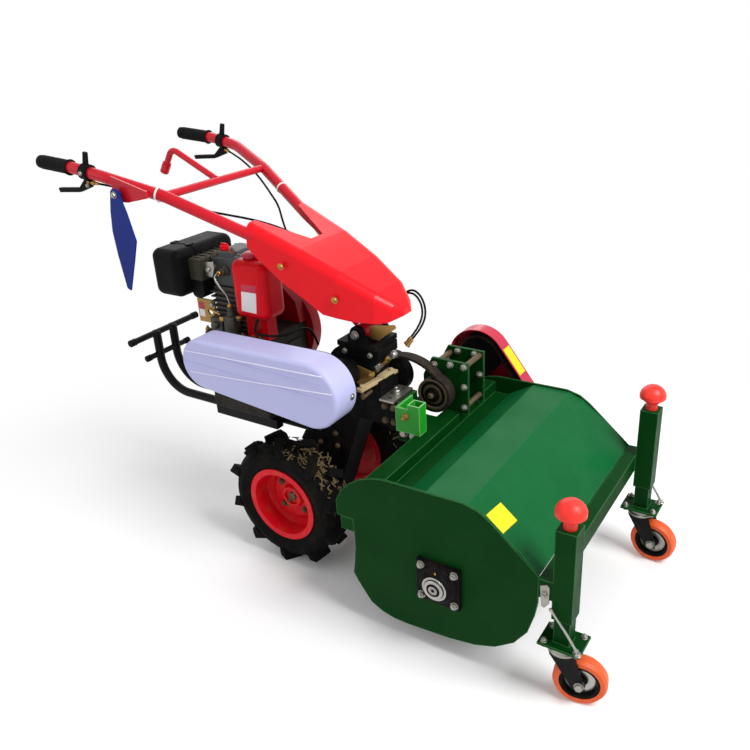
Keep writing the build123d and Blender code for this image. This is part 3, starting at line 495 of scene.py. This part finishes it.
def height_clamps():
    """A clamp plate and bolt on each leg's sleeve, and the setting rod that stands on the foot plate."""
    clamp_y, clamp_thick, rod_y = leg_y + 23.8, 4, leg_y + 33
    clamp = ((835, 320), (850, 327), (857, 320), (856, 276), (846, 262), (839, 266))
    rod = ((863, 270), (874, 255), (904, 214), (928, 176), (930, 169))
    for side, s in both_sides:
        body = "slide_leg_" + side
        bm = bmesh.new()
        flat_plate(bm, s * clamp_y, clamp, s * clamp_thick)
        bolt(bm, at(846, s * (clamp_y + clamp_thick), 302), (0, s, 0), 9, 4)
        piece("clamp_" + side, bm, zinc, "machine", 0.4)
        points = [at(x, s * rod_y, z) for x, z in rod]
        curve_piece("setting_rod_" + side, points, 3 * mm, steel, body)
        bm = bmesh.new()
        bolt(bm, at(930, s * rod_y, 168), upward, 8)
        lathe(bm, [(0, -6), (4, -6), (4.6, -4), (4.6, 0), (3.4, 1.5), (0, 1.5)], points[0],
              (-0.6, 0, 0.8), 20)
        piece("setting_rod_ends_" + side, bm, steel, body, 0.2)


def casters():
    """Bolts through each foot plate, swivel race, axle nuts, and each wheel's bearing covers."""
    foot_top, foot_under, bolt_x, bolt_y = 168, 162, 38, 27
    race_z, axle_z, trail, nut_reach = 137, 62.5, 42, 27
    # Each fork stands turned by some degrees; the near wheel's covers are bright, the far one's dull
    for side, s, turn, covers in (("right", -1, 12.0, steel), ("left", 1, -4.0, zinc)):
        y, leg = s * leg_y, "slide_leg_" + side
        corners = [(leg_x + a, y + b) for a in (-bolt_x, bolt_x) for b in (-bolt_y, bolt_y)]
        bolts("foot_nuts_" + side, [(*c, foot_top) for c in corners], upward, 8, zinc, leg, 3)
        bolts("foot_bolts_" + side, [(*c, foot_under) for c in corners], downward, 8, zinc, leg)
        ahead = Vector((math.cos(math.radians(turn)), math.sin(math.radians(turn)), 0))
        across = Vector((-ahead.y, ahead.x, 0))
        bm = bmesh.new()
        lathe(bm, [(29.2, 6.5), (35.5, 6.5), (37, 9), (37, 12), (33, 15), (33, 18), (36, 20), (36, 23),
                   (29.2, 23)], at(leg_x, y, race_z), upward, 40)
        hub = at(leg_x, y, axle_z) + ahead * trail * mm
        for way in (-1, 1):
            bolt(bm, hub + across * way * nut_reach * mm, across * way, 11)
        piece("swivel_race_" + side, bm, zinc, "swivel_" + side, 0.3)
        bm = bmesh.new()
        for way in (-1, 1):
            lathe(bm, [(6.4, 20.4), (12, 20.4), (13.2, 18.5), (13.6, 16), (15.6, 8)], hub, across * way, 32)
            lathe(bm, [(36, 6.2), (33, 7.6), (20, 7.6), (17, 6.2)], hub, across * way, 40)
        piece("caster_bearing_" + side, bm, covers, "caster_wheel_" + side)


def straw_blade(bm, chance, s):
    """One dry blade on the part of the tread that faces ahead and up: it lies nearly flat on the tyre."""
    turn = math.radians(chance.gauss(52, 18))
    reach = chance.uniform(175, 189)
    middle = at(reach * math.cos(turn), s * 177 + chance.uniform(-46, 46), wheel_z + reach * math.sin(turn))
    lie = Vector((chance.uniform(-1, 1), chance.uniform(-1, 1), chance.uniform(-1, 1))).normalized()
    rise = Vector((math.cos(turn), 0, math.sin(turn)))
    lie = (lie - rise * lie.dot(rise) * 0.8).normalized()
    wide = lie.cross(rise).normalized() * chance.uniform(0.8, 2.6) * mm
    long = lie * chance.uniform(5, 14) * mm
    left, right, lift = middle - wide, middle + wide, rise * 3 * mm
    plate(bm, [left - long, right - long, right + long * 0.2, right + long + lift, left + long + lift],
          rise * 0.5)


def wheels():
    """Rim bolts, the pin through each hub, tyre valve, and dry straw caught in the lugs."""
    disc_y, bolt_circle, straws = 166, 54, 150
    circle = [(bolt_circle * math.cos(a), wheel_z + bolt_circle * math.sin(a)) for a in around(4, 0.5)]
    for side, s in both_sides:
        out, body = (0, s, 0), "wheel_" + side
        bolts("rim_bolts_" + side, [(x, s * disc_y, z) for x, z in circle], out, 10, dusty_steel, body, 2)
        bm = bmesh.new()
        bar(bm, at(-22, s * (disc_y + 5), 161), at(22, s * (disc_y + 5), 233), 5)
        lathe(bm, [(0, 0), (13.8, 0), (13.8, 6), (12, 8), (5, 8), (4, 5), (0, 5)],
              at(0, s * (disc_y + 2), wheel_z), out, 6)
        piece("hub_pin_" + side, bm, dusty_steel, body, 0.4)
        bm = bmesh.new()
        lathe(bm, [(0, 0), (5, 0), (5, 4), (3.5, 6), (3.5, 22), (2.6, 25), (0, 25)],
              at(0, s * 180, 294), (0, s, -0.5), 16)
        piece("tyre_valve_" + side, bm, brass, body)
        chance = random.Random(11 if s < 0 else 12)
        bm = bmesh.new()
        for _ in range(straws):
            straw_blade(bm, chance, s)
        piece("straw_" + side, bm, straw, body)


def hitch_bolts():
    """Bolts of hitch, tool socket and tongue, and the ties and bearings of the jackshaft's two plates."""
    hitch_face, socket_face = -46, -76
    near_plate, far_plate, far_plate_back = 92, 186, 194
    bolts("hitch_bolt", [(275, -6, 524)], upward, 12, zinc, "machine", 8)
    hitch = [(x, hitch_face, z) for z in (500, 456) for x in (262, 290)]
    bolts("hitch_side_bolts", hitch, to_right, 10, dusty_steel, "machine")
    bolts("socket_bolt", [(346, socket_face, 500)], to_right, 10, yellow_zinc, "machine", 10)
    bolts("tongue_bolts", [(x, hitch_face, 430) for x in (320, 350)], to_right, 12, zinc, "machine")
    near = [(x, near_plate, z) for x, z in ((434, 592), (434, 532), (434, 470), (392, 592), (342, 584))]
    bolts("bracket_bolts_near", near, to_right, 10, zinc, "machine", 2)
    far = [(x, far_plate, z) for x, z in ((418, 592), (434, 532), (366, 592), (330, 560))]
    bolts("bracket_bolts_far", far, to_right, 10, zinc, "machine", 2)
    bearing = [(14, 0), (30, 0), (30, 6), (24, 12), (14, 12)]
    bm = bmesh.new()
    for x, z in ((434, 592), (434, 470), (342, 584)):
        bar(bm, at(x, near_plate + 7, z), at(x, far_plate + 1, z), 8)
    lathe(bm, bearing, at(jack_x, far_plate, jack_z), to_right, 40)
    lathe(bm, bearing, at(jack_x, far_plate_back, jack_z), to_left, 40)
    piece("bracket_ties", bm, dusty_steel, "machine", 0.4)


def pulley_faces():
    """Turned faces of the jackshaft's pulley, with its bolt, and of the mower drive pulley."""
    bm = bmesh.new()
    lathe(bm, [(22, 1), (27, 1), (30, -0.2), (38, -0.2), (40, 3), (45.6, 3), (45.6, 0)],
          at(jack_x, 53, jack_z), to_right, 48)
    bolt(bm, at(jack_x, 43, jack_z), to_right, 9)
    piece("jack_pulley_face", bm, dusty_steel, "jack_drive", 0.3)
    face = at(pto_x, 83, pto_z)
    bm = bmesh.new()
    lathe(bm, [(14, 0), (50, 0), (54, 2), (56.5, 2), (56.5, -4)], face, to_left, 48)
    lathe(bm, [(0, 8), (9, 8), (11, 6), (24, 5), (26, 0), (14, 0)], face, to_left, 32)
    piece("pto_pulley_face", bm, dusty_steel, "pto_drive", 0.3)


def gear_link():
    """The gear link: a rod with an eye at each end, two lock nuts, a brass barrel and a spring."""
    low, high = at(229, -30, 600), at(287, -30, 651)
    way = (high - low).normalized()
    bm = bmesh.new()
    bar(bm, low, high, 4)
    for nut in (26, 62):
        lathe(bm, [(0, 0), (8, 0), (8, 5), (0, 5)], low + way * nut * mm, way, 6)
    for eye in (high, low):
        lathe(bm, [(0, -8), (9, -8), (11, -4), (11, 4), (9, 8), (0, 8)], eye, to_left, 24)
    piece("gear_link_rod", bm, steel, "machine", 0.3)
    bm = bmesh.new()
    lathe(bm, [(0, 0), (7, 0), (9.5, 3), (9.5, 32), (7, 35), (0, 35)], low + way * 30 * mm, way, 6)
    piece("gear_link_barrel", bm, brass, "machine", 0.4)
    coils, steps, first, run, coil_radius = 6, 8, 4, 20, 8.5
    left = Vector(to_left)
    across = way.cross(left).normalized()
    wire = []
    for n in range(coils * steps + 1):
        turn = n * math.tau / steps
        centre = low + way * (first + run * n / (coils * steps)) * mm
        wire.append(centre + (across * math.cos(turn) + left * math.sin(turn)) * coil_radius * mm)
    curve_piece("gear_link_spring", wire, 1.3 * mm, steel, "machine")


def gear_selector():
    """The selector's lever on the gearbox's side, its bar across, and the link that hangs from the bar."""
    bm = bmesh.new()
    flat_plate(bm, -52, ((176, 612), (226, 600), (238, 590), (234, 580), (192, 552), (176, 560)), -5)
    bolt(bm, at(228, -57, 590), to_right, 8, 2)
    bar(bm, at(228, -52, 590), at(228, -44, 590), 6)
    piece("selector_lever", bm, yellow_zinc, "machine", 0.6)
    bm = bmesh.new()
    level_plate(bm, 561, ((214, -112), (234, -112), (252, 44), (232, 44)), 9)
    level_plate(bm, 566, ((216, -20), (248, -20), (248, 40), (216, 40)), 5)
    flat_plate(bm, 16, ((190, 568), (222, 568), (216, 592), (198, 594)), 8)
    for x, y in ((226, -98), (238, 30)):
        bolt(bm, at(x, y, 570), upward, 8)
    piece("selector_bar", bm, cream, "machine", 0.6)
    bm = bmesh.new()
    bar(bm, at(226, -98, 566), at(226, -98, 536), 5)
    bar(bm, at(226, -98, 538), at(222, -50, 538), 5)
    piece("selector_link", bm, dusty_steel, "machine", 0.4)


def gearbox_bolts():
    """Bolts of the gearbox's side covers and of the flange under the steering head."""
    cover_face, flange_face, flange_z, bolt_circle = 52, 54, 646, 62
    turns = [math.radians(degrees) for degrees in (95, 140, 185, 320, 5)]
    cover = [(bolt_circle * math.cos(a), wheel_z + bolt_circle * math.sin(a)) for a in turns]
    cover += [(34, 376), (88, 372), (30, 330), (92, 332)]
    for side, s in both_sides:
        seats = [(x, s * cover_face, z) for x, z in cover]
        bolts("gearbox_bolts_" + side, seats, (0, s, 0), 8, dusty_steel, "machine")
    for side, s in both_sides:
        seats = [(x, s * flange_face, flange_z) for x in (146, 228)]
        bolts("flange_bolts_" + side, seats, (0, s, 0), 8, zinc, "machine")


def cover_trim():
    """Pressed ridges across the belt cover's face, and the screw in its front wall."""
    cover_face, half_ridge = -239, 1.6
    bm = bmesh.new()
    for (x0, z0), (x1, z1) in (((-270, 576), (232, 612)), ((-280, 640), (205, 656))):
        way = Vector((x1 - x0, 0, z1 - z0)).normalized()
        rise = Vector((-way.z, 0, way.x)) * half_ridge * mm
        start, end = at(x0, cover_face, z0), at(x1, cover_face, z1)
        plate(bm, [start - rise, end - rise, end + rise, start + rise], (0, -3, 0))
    piece("cover_ridges", bm, cover_white, "machine", 0.8)
    bm = bmesh.new()
    screw(bm, at(245.6, -172, 580), to_front)
    piece("cover_screw", bm, steel, "machine")


def injection_pump():
    """Injection pump, its governor and the injector's body, with their brass unions and lever."""
    bm = bmesh.new()
    block(bm, at(-232, -86, 670), (40, 30, 58))
    block(bm, at(-286, -84, 664), (46, 26, 44))
    lathe(bm, [(0, 0), (13, 0), (13, 8), (10, 10), (10, 26), (0, 26)], at(-232, -86, 699), upward, 24)
    lathe(bm, [(0, 0), (12, 0), (12, 12), (9, 16), (0, 16)], at(-286, -97, 666), to_right, 24)
    lathe(bm, [(0, 0), (16, 0), (16, 5), (11, 8), (11, 20), (8, 22), (0, 22)],
          at(-262, -54, 822), to_right, 24)
    piece("injection_pump", bm, cast_alloy, "machine", 1.2)
    union = [(0, 0), (8, 0), (8, 9), (6, 11), (0, 11)]
    bm = bmesh.new()
    lathe(bm, union, at(-232, -86, 725), upward, 6)
    lathe(bm, union, at(-262, -76, 822), to_right, 6)
    lathe(bm, [(0, 0), (9, 0), (9, 6), (6, 8), (6, 14), (0, 14)], at(-176, -112, 716), downward, 20)
    block(bm, at(-258, -98, 690), (16, 10, 12))
    bar(bm, at(-258, -104, 704), at(-300, -104, 716), 3)
    piece("brass_unions", bm, brass, "machine", 0.5)


def engine_pipes():
    """Steel injection pipe, grey return pipe and black fuel hose."""
    line = [at(-232, -86, 736), at(-232, -90, 762), at(-240, -104, 786), at(-256, -108, 812),
            at(-262, -100, 822), at(-262, -88, 822)]
    curve_piece("injection_pipe", line, 3 * mm, steel, "machine")
    line = [at(-194, -74, 888), at(-214, -64, 896), at(-232, -48, 892), at(-241, -38, 878)]
    curve_piece("return_pipe", line, 5 * mm, head_grey, "machine")
    line = [at(-113, -104, 712), at(-112, -120, 694), at(-98, -140, 686), at(-60, -146, 688),
            at(-10, -146, 694), at(26, -130, 704), at(44, -96, 712), at(46, -60, 690), at(44, -40, 640)]
    curve_piece("fuel_pipe", line, 3.5 * mm, black_plastic, "machine")


def head_details():
    """Oil cap, injector cap and decompression lever on the cylinder head."""
    bm = bmesh.new()
    lathe(bm, [(0, 0), (12, 0), (13, 3), (13, 12), (9, 16), (0, 17)], at(-274, -34, 878), upward, 24)
    block(bm, at(-274, -34, 896), (22, 6, 5))
    piece("oil_cap", bm, tank_red, "machine", 0.8)
    bm = bmesh.new()
    lathe(bm, [(0, 0), (11, 0), (11, 4), (8, 6), (8, 12), (5, 14), (0, 14)], at(-241, -38, 876), upward, 6)
    piece("injector_cap", bm, copper, "machine", 0.5)
    bm = bmesh.new()
    flat_plate(bm, -78, ((-323, 848), (-282, 853), (-278, 838), (-291, 807), (-318, 809)), -4)
    bar(bm, at(-300, -50, 830), at(-300, -84, 830), 7)
    bolt(bm, at(-300, -82, 830), to_right, 8)
    piece("decompression_lever", bm, zinc, "machine", 0.5)


def tank_cap():
    """The fuel tank's cap with its knurled rim."""
    centre, rim_radius = at(-144, -66, 889), 23.6
    bm = bmesh.new()
    lathe(bm, [(0, 8), (9, 8), (17, 6), (23, 3), (24, -1), (24, -9), (19.4, -10), (19.4, 0), (0, 0)],
          centre, upward, 40)
    for turn in around(20):
        spot = centre + Vector((math.cos(turn), math.sin(turn), 0)) * rim_radius * mm
        bar(bm, spot + Vector(downward) * 8 * mm, spot + Vector(upward) * 1.5 * mm, 1.6, 8)
    piece("tank_cap", bm, guard_red, "machine", 0.3)


def engine_bolts():
    """Studs and bolts of crankcase, head, engine bracket and tank strap."""
    studs = [(x, -93, 642) for x in (-330, -190, -150, -124)]
    bolts("crankcase_studs", studs, upward, 8, yellow_zinc, "machine", 5)
    head = [(x, y, 862) for x in (-302, -214) for y in (-44, 44)]
    bolts("head_bolts", head, upward, 10, dusty_steel, "machine", 3)
    bolts("bracket_screws", [(-328, -62, z) for z in (664, 712)], to_right, 8, zinc, "machine")
    bolts("tank_strap_bolts", [(x, -80, 706) for x in (-162, -108)], to_right, 6, zinc, "machine")


def cleaner_and_bumper():
    """The rounded band round the air cleaner with its two clips, and rubber caps on the bumper's tubes."""
    corner_radius = 26
    bm = bmesh.new()
    block(bm, at(-422, -58, 817), (115, 7, 145))
    upright = [e for e in bm.edges if abs((e.verts[0].co - e.verts[1].co).normalized().y) > 0.9]
    bmesh.ops.bevel(bm, geom=upright, offset=corner_radius * mm, offset_type="OFFSET", segments=8,
                    profile=0.5, affect="EDGES", material=-1)
    for x in (-452, -392):
        block(bm, at(x, -58, 889.5), (14, 24, 3))
    piece("cleaner_band", bm, black_plastic, "machine")
    bm = bmesh.new()
    for s in (-1, 1):
        out = (0, s, 0)
        lathe(bm, [(0, 2), (9, 2), (11.5, 0), (11.5, -22), (10.2, -22)], at(-634, s * 148, 560), out, 24)
        lathe(bm, [(0, 2), (8, 2), (10.5, 0), (10.5, -18), (9.2, -18)], at(-634, s * 95, 486), out, 24)
    piece("bumper_caps", bm, rubber, "machine", 0.3)


def crankcase_covers():
    """Covers on the crankcase's rear, left and front, the oil filler, and their bolts and plugs."""
    filler_way = (-0.7, 0, 0.7)
    bm = bmesh.new()
    block(bm, at(-343, 0, 522), (6, 150, 170))
    block(bm, at(-345, 0, 540), (8, 104, 96))
    block(bm, at(-225, 105.5, 424), (176, 7, 52))
    block(bm, at(-107, 0, 540), (6, 140, 120))
    lathe(bm, [(0, 0), (17, 0), (17, 10), (14, 13), (14, 30), (0, 30)], at(-341, 70, 596), filler_way, 24)
    piece("crankcase_covers", bm, crank_grey, "machine", 2.5)
    rear = [(-346, y, z) for y in (-66, 0, 66) for z in (446, 598) if (y, z) != (66, 598)]
    rear += [(-346, -66, 522), (-346, 66, 522)]
    bolts("rear_cover_bolts", rear, to_rear, 7, dusty_steel, "machine")
    low = [(x, 109, 424) for x in (-302, -250, -200, -148)]
    bolts("left_cover_bolts", low, to_left, 7, dusty_steel, "machine")
    bm = bmesh.new()
    lathe(bm, [(0, 0), (9, 0), (9, 4), (6, 6), (6, 10), (0, 10)], at(-341, -70, 420), to_rear, 6)
    lathe(bm, [(0, 0), (11, 0), (12, 2), (12, 8), (9, 10), (0, 10)], at(-362, 70, 617), filler_way, 12)
    piece("oil_plugs", bm, brass, "machine", 0.5)


def recoil_starter():
    """The recoil starter's dished cover on the fan housing, black bars as painted shade in its vent slots,
    and its pull handle.
    """
    hub, left = at(-225, 143, 609), Vector(to_left)
    bm = bmesh.new()
    lathe(bm, [(0, 24), (26, 24), (30, 22), (32, 19), (58, 17), (68, 12), (74, 4), (79, 0)], hub, to_left, 56)
    # The starter's cover takes the shroud's darkened red, a painted shade
    piece("recoil_starter", bm, fan_red_painted_shade, "machine")
    bm = bmesh.new()
    # Painted shade: black bars laid on the cover stand for the dark inside of the vent slots
    for turn in around(18):
        spoke = Vector((math.cos(turn), 0, math.sin(turn)))
        bar(bm, hub + (spoke * 38 + left * 17) * mm, hub + (spoke * 60 + left * 14.5) * mm, 2.5, 10)
        bar(bm, hub + (spoke * 98 + left * 11) * mm, hub + (spoke * 124 + left * 11) * mm, 3.2, 10)
    bolt(bm, hub + left * 23 * mm, to_left, 8)
    piece("starter_vent_shade", bm, chassis_black, "machine", 0.3)
    bm = bmesh.new()
    bar(bm, at(-290, 168, 668), at(-256, 168, 692), 8)
    bar(bm, at(-273, 168, 680), at(-262, 160, 664), 4)
    piece("starter_handle", bm, rubber, "machine", 1.0)


def handlebar_sides():
    """On each arm: grip ribs, cable adjuster, hand lever pivots and hood screws."""
    grip_y, ribs, rib_step = 270, 16, 7
    profile = [(15, 4), (18, 4)]
    for n in range(ribs):
        foot = rib_step * n
        profile += [(18.2, foot + 6), (19.4, foot + 7.5), (19.4, foot + 10.5), (18.2, foot + 12)]
    profile += [(22, 119), (22, 121.5), (16.2, 122)]
    for side, s in both_sides:
        out = (0, s, 0)
        back, front = at(-694, s * grip_y, 1150), at(-560, s * grip_y, 1139)
        way = (front - back).normalized()
        bm = bmesh.new()
        lathe(bm, profile, back - way * 4 * mm, way, 32)
        piece("grip_ribs_" + side, bm, rubber, "handlebar")
        bm = bmesh.new()
        lathe(bm, [(3.2, -8), (5, -8), (5, 4), (6.5, 5), (6.5, 14), (4.6, 16), (4.6, 24), (3.2, 26)],
              at(-509, s * 268, 1104), (27, s * -10, -5), 20)
        piece("cable_adjuster_" + side, bm, brass, "handlebar")
        bm = bmesh.new()
        bolt(bm, at(-515, s * 288, 1131), out, 6)
        bolt(bm, at(-515, s * 272.6, 1096), out, 6, 1)
        piece("lever_pivots_" + side, bm, zinc, "handlebar", 0.2)
        bm = bmesh.new()
        screw(bm, at(22, s * 139, 893), (0.1, s, 0))
        screw(bm, at(168, s * 111.5, 813), (0.3, s, 0))
        piece("hood_screws_" + side, bm, brass, "handlebar")


def handlebar_details():
    """Cable ties, the side lever's bolt, the tilt pin's nuts, cable ferrules and the nose's gusset."""
    # Where each tie sits, and the direction of the tube that it holds
    ties = ((at(-316, -211, 1074), (155, 57, -52)), (at(-205, 168, 1021), (215, -83, -106)),
            (at(-590, 270, 1141.5), (134, 0, -11)))
    bm = bmesh.new()
    for start, way in ties:
        lathe(bm, [(16.1, -2.6), (17.8, -2.6), (17.8, 2.6), (16.1, 2.6), (16.1, -2.6)], start, way, 32)
        block(bm, start + Vector((0, 0, -18)) * mm, (7, 5, 7))
        bar(bm, start + Vector((0, 0, -20)) * mm, start + Vector((-3, 2, -28)) * mm, 0.9, 8)
    piece("cable_ties", bm, tie_white, "handlebar", 0.2)
    bolts("side_lever_bolt", [(-384, -296, 1084)], to_right, 9, zinc, "handlebar", 2)
    for side, s in both_sides:
        bolts("tilt_nut_" + side, [(190, s * 63, 702)], (0, s, 0), 12, zinc, "turntable")
    ferrule = [(3.2, -22), (4.4, -22), (5.5, -18), (5.5, -4), (7, -3), (7, 3), (3.2, 4)]
    bm = bmesh.new()
    for route in ("cable_loop_front", "cable_loop_rear"):
        points = [at(*p) for p in cable_routes[route]]
        for end, inner in ((points[-1], points[-2]), (points[0], points[1])):
            lathe(bm, ferrule, end, end - inner, 20)
    piece("loop_ferrules", bm, brass, "turntable")
    bm = bmesh.new()
    flat_plate(bm, -32, ((214, 686), (244, 684), (300, 728), (296, 736), (218, 722)), 4)
    piece("nose_gusset", bm, yellow_zinc, "turntable", 0.4)


mower_flange()
blank_labels()
height_clamps()
casters()
wheels()
hitch_bolts()
pulley_faces()
gear_link()
gear_selector()
gearbox_bolts()
cover_trim()
injection_pump()
engine_pipes()
head_details()
tank_cap()
engine_bolts()
cleaner_and_bumper()
crankcase_covers()
recoil_starter()
handlebar_sides()
handlebar_details()


def room():
    """Plain pale floor, and a world that shows white behind the machine without lighting it more."""
    bm = bmesh.new()
    bmesh.ops.create_grid(bm, x_segments=1, y_segments=1, size=12.0)
    mesh = bpy.data.meshes.new("floor")
    bm.to_mesh(mesh)
    bm.free()
    floor = bpy.data.objects.new("floor", mesh)
    bpy.context.collection.objects.link(floor)
    mat = new_material("pale_floor")
    plain = add(mat, "ShaderNodeBsdfPrincipled", {"Base Color": linear("F6F6F6"), "Roughness": 0.9})
    glow = add(mat, "ShaderNodeEmission", {"Color": (1, 1, 1, 1), "Strength": 1.0})
    where = add(mat, "ShaderNodeTexCoord").outputs["Object"]
    away = add(mat, "ShaderNodeVectorMath", {0: where}, operation="LENGTH")
    far = add(mat, "ShaderNodeMapRange", {"Value": away.outputs["Value"], "From Min": 0.7, "From Max": 1.9})
    rays = add(mat, "ShaderNodeLightPath")
    eye = add(mat, "ShaderNodeMath", {0: rays.outputs["Is Camera Ray"], 1: rays.outputs["Is Glossy Ray"]},
              operation="MAXIMUM")
    white = add(mat, "ShaderNodeMath", {0: eye.outputs[0], 1: far.outputs["Result"]}, operation="MULTIPLY")
    shader = add(mat, "ShaderNodeMixShader", {0: white.outputs[0], 1: plain.outputs["BSDF"],
                                              2: glow.outputs["Emission"]})
    add(mat, "ShaderNodeOutputMaterial", {"Surface": shader.outputs["Shader"]})
    mesh.materials.append(mat)
    world = bpy.data.worlds.new("studio")
    bpy.context.scene.world = world
    world.use_nodes = True
    world.node_tree.nodes.clear()
    path = add(world, "ShaderNodeLightPath")
    shiny = add(world, "ShaderNodeMath", {0: path.outputs["Is Glossy Ray"],
                                          1: path.outputs["Is Transmission Ray"]}, operation="MAXIMUM")
    seen = add(world, "ShaderNodeMath", {0: path.outputs["Is Camera Ray"], 1: shiny.outputs[0]},
               operation="MAXIMUM")
    soft = add(world, "ShaderNodeBackground", {"Color": (1, 1, 1, 1), "Strength": 0.58})
    white = add(world, "ShaderNodeBackground", {"Color": (1, 1, 1, 1), "Strength": 1.0})
    mix = add(world, "ShaderNodeMixShader", {0: seen.outputs[0], 1: soft.outputs[0], 2: white.outputs[0]})
    add(world, "ShaderNodeOutputWorld", {0: mix.outputs[0]})


def lamp(name, place, target, size, power):
    """A square soft lamp at a place, aimed at a target: its side in metres and its power in watts."""
    data = bpy.data.lights.new(name, "AREA")
    data.size = size
    data.energy = power
    obj = bpy.data.objects.new(name, data)
    obj.location = place
    obj.rotation_euler = (Vector(target) - Vector(place)).to_track_quat("-Z", "Y").to_euler()
    bpy.context.collection.objects.link(obj)


room()
lamp("key_lamp", (2.8, -0.3, 3.4), (0, 0, 0.5), 1.6, 150)
lamp("fill_lamp", (-2.4, -3.0, 2.2), (0, 0, 0.5), 2.5, 18)
lamp("back_lamp", (-2.0, 2.6, 2.6), (0, 0, 0.5), 2.5, 35)

bpy.context.scene.view_settings.view_transform = "Standard"
